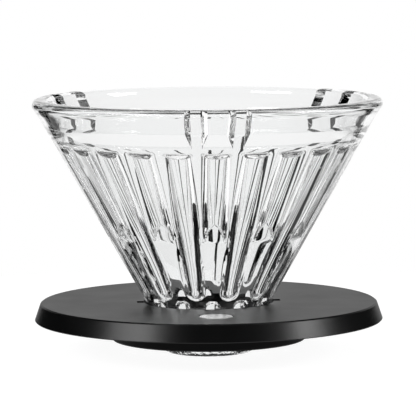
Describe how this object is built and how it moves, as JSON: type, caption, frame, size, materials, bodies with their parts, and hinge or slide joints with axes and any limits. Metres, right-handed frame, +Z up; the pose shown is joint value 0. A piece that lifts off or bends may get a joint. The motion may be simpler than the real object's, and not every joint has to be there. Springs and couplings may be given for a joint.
{
  "type": "coffee dripper",
  "caption": "Pour-over coffee dripper: a ribbed clear glass cone that twists into a round black base plate, with a ring below that locates it in a server.",
  "frame": {"origin": "on the axis, at the bottom of the glass outlet, where the dripper stands on a table", "axes": "+Z up along the axis of the cone, -Y to the front, where the badge is"},
  "size_m": [0.118, 0.118, 0.086],
  "materials": {
    "glass": "clear, fire polished",
    "silicone": "matte",
    "plate_plastic": "satin, fine grain",
    "ring_plastic": "satin",
    "badge_metal": "bare, turned",
    "adhesive": "matte"
  },
  "bodies": {
    "base": {"base_plate": "plate_plastic", "locating_ring": "ring_plastic", "badge_disc": "badge_metal", "badge_pad": "adhesive"},
    "seal": {"seat_seal": "silicone"},
    "glass": {"glass_cone": "glass"}
  },
  "joints": [
    {"name": "glass_lift", "type": "slide", "parent": "base", "child": "seal", "axis": [0, 0, 1], "range_m": [0, 0.04]},
    {"name": "glass_turn", "type": "hinge", "parent": "seal", "child": "glass", "pos_m": [0, 0, 0.017], "axis": [0, 0, -1], "range_deg": [0, 60]}
  ]
}
